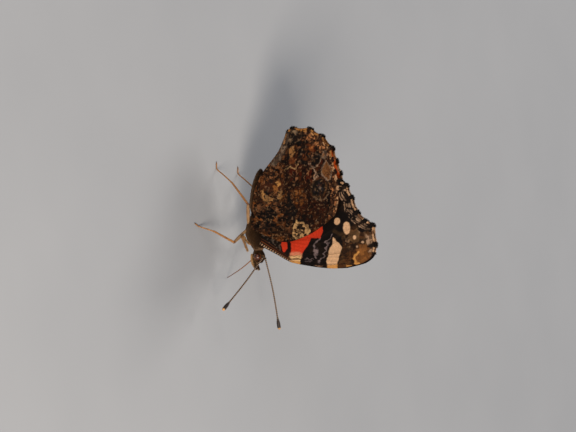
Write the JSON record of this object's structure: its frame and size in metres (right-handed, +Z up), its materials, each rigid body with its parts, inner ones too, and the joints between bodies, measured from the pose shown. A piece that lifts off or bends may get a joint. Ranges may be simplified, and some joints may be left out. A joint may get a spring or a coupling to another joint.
{
  "type": "red admiral butterfly model",
  "caption": "Life-size red admiral butterfly standing on its feet with its wings closed over its back.",
  "frame": {"origin": "on the floor that the feet stand on, at the middle of the animal's bounding box", "axes": "+X forward from tail to head, +Y to the butterfly's left, +Z up; the closed wings lie beside the XZ plane"},
  "size_m": [0.0478, 0.0292, 0.0411],
  "materials": {
    "head_fur": "short brown and pale hair, matt",
    "thorax_fur": "dense brown hair, matt with a soft sheen",
    "abdomen_fur": "dark brown scales and hair, matt",
    "proboscis": "smooth amber tube, half gloss",
    "eye": "brown faceted dome, glossy",
    "palp": "pale and dark scales, matt",
    "antenna": "black rings with thin white bands, satin",
    "forewing": "scales in black, red, white and brown, matt",
    "hindwing": "marbled brown, black and grey scales, matt",
    "leg": "tan scales with fine spines, satin"
  },
  "bodies": {
    "root": {"head": "head_fur", "thorax": "thorax_fur", "abdomen": "abdomen_fur", "proboscis": "proboscis", "eye_left": "eye", "palp_left": "palp", "antenna_left": "antenna", "forewing_left": "forewing", "hindwing_left": "hindwing", "foreleg_left_femur": "leg", "foreleg_left_tibia": "leg", "midleg_left_femur": "leg", "midleg_left_tibia": "leg", "midleg_left_tarsus": "leg", "hindleg_left_femur": "leg", "hindleg_left_tibia": "leg", "hindleg_left_tarsus": "leg", "eye_right": "eye", "palp_right": "palp", "antenna_right": "antenna", "forewing_right": "forewing", "hindwing_right": "hindwing", "foreleg_right_femur": "leg", "foreleg_right_tibia": "leg", "midleg_right_femur": "leg", "midleg_right_tibia": "leg", "midleg_right_tarsus": "leg", "hindleg_right_femur": "leg", "hindleg_right_tibia": "leg", "hindleg_right_tarsus": "leg"}
  },
  "joints": []
}
